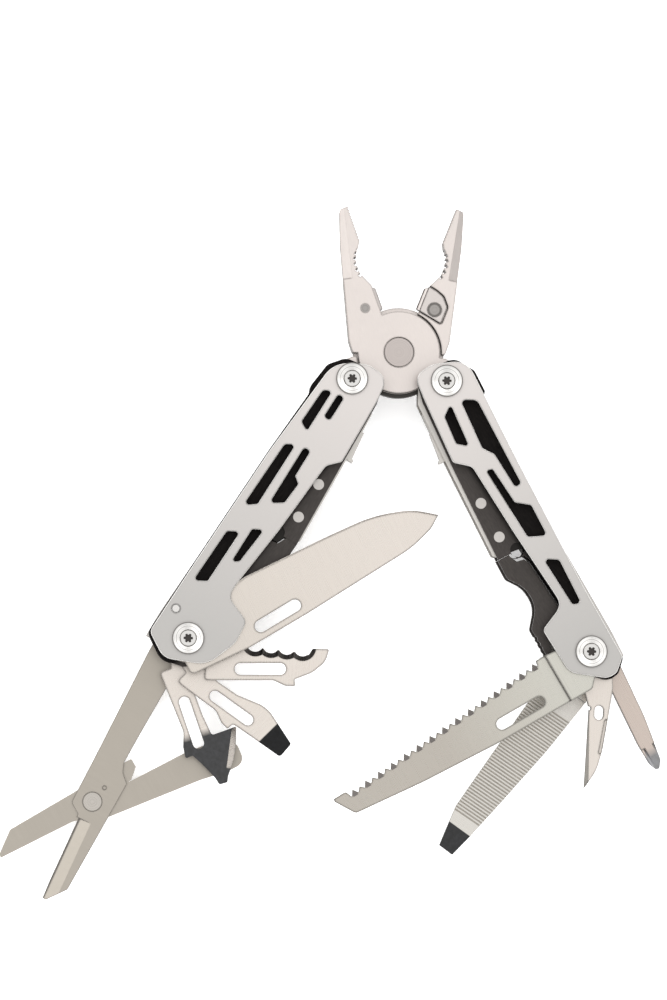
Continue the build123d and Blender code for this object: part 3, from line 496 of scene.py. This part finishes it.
# ---- floor, light and camera ----
FLOOR_GLOW = 0.35
BRIGHTEST = Vector((-0.30, 0.34, 0.89))       # the direction in which the sky is brightest
SKY = [(0.0, 0.50), (0.35, 0.62), (0.70, 0.86), (1.0, 1.0)]
LAMPS = [(-1.2, 0.9, 18), (1.1, 1.0, 14), (1.2, -1.0, 12), (-1.0, -1.1, 14)]     # x, y and power
LAMP_HEIGHT, LAMP_SIZE = 1.3, 1.5
CAMERA_DISTANCE, VIEW_HEIGHT, SENSOR_MM = 1.6, 0.2878, 36.0
AIM_FROM_HEAD = Vector((-0.01874, -0.04263, 0.0023))


def floor():
    bpy.ops.mesh.primitive_plane_add(size=6.0, location=(0, 0, 0))
    plane = bpy.context.object
    plane.name = "floor"
    paint = Paint("floor_white")
    paint.set(Base_Color=(0.95, 0.95, 0.95, 1), Roughness=0.9, Specular_IOR_Level=0.1)
    paint.set(Emission_Color=(1, 1, 1, 1), Emission_Strength=FLOOR_GLOW)
    plane.data.materials.append(paint.material)


def softbox(name, place, size, power):
    data = bpy.data.lights.new(name, "AREA")
    data.shape = "SQUARE"
    data.size, data.energy = size, power
    lamp = bpy.data.objects.new(name, data)
    bpy.context.scene.collection.objects.link(lamp)
    lamp.location = place
    lamp.rotation_euler = (-Vector(place)).to_track_quat("-Z", "Y").to_euler()


def world():
    """Soft light from all round: full overhead and on the upper left, darker low and lower right."""
    scene = bpy.context.scene
    scene.world = scene.world or bpy.data.worlds.new("studio")
    scene.world.use_nodes = True
    sky = Nodes(scene.world.node_tree)
    facing = sky.node("ShaderNodeVectorMath", operation="DOT_PRODUCT")
    facing.inputs[1].default_value = BRIGHTEST.normalized()
    sky.link(sky.node("ShaderNodeTexCoord").outputs["Generated"], facing.inputs[0])
    shade = sky.ramp(facing.outputs["Value"], [(place, (grey, grey, grey)) for place, grey in SKY])
    back = sky.tree.nodes["Background"]
    sky.link(shade, back.inputs["Color"])
    back.inputs["Strength"].default_value = LIGHT_GAIN


def camera():
    """A long lens almost straight above, leaning a little to the lower left."""
    lean, side, roll = math.radians(3.5), math.radians(230.0), math.radians(0.11)
    data = bpy.data.cameras.new("camera")
    data.sensor_fit = "VERTICAL"
    data.sensor_height = SENSOR_MM
    data.lens = SENSOR_MM * CAMERA_DISTANCE / VIEW_HEIGHT
    eye = bpy.data.objects.new("camera", data)
    bpy.context.scene.collection.objects.link(eye)
    back = Vector((math.sin(lean) * math.cos(side), math.sin(lean) * math.sin(side), math.cos(lean)))
    right = Vector((-math.sin(roll), math.cos(roll), 0)).cross(back).normalized()
    turn = Matrix((right, back.cross(right), back)).transposed()
    eye.matrix_world = Matrix.Translation(HEAD + AIM_FROM_HEAD + CAMERA_DISTANCE * back) @ turn.to_4x4()
    bpy.context.scene.camera = eye


floor()
world()
for number, (x, y, power) in enumerate(LAMPS):
    softbox(f"softbox_{number}", (x, y, LAMP_HEIGHT), LAMP_SIZE, power)
camera()
bpy.context.scene.view_settings.view_transform = "Standard"
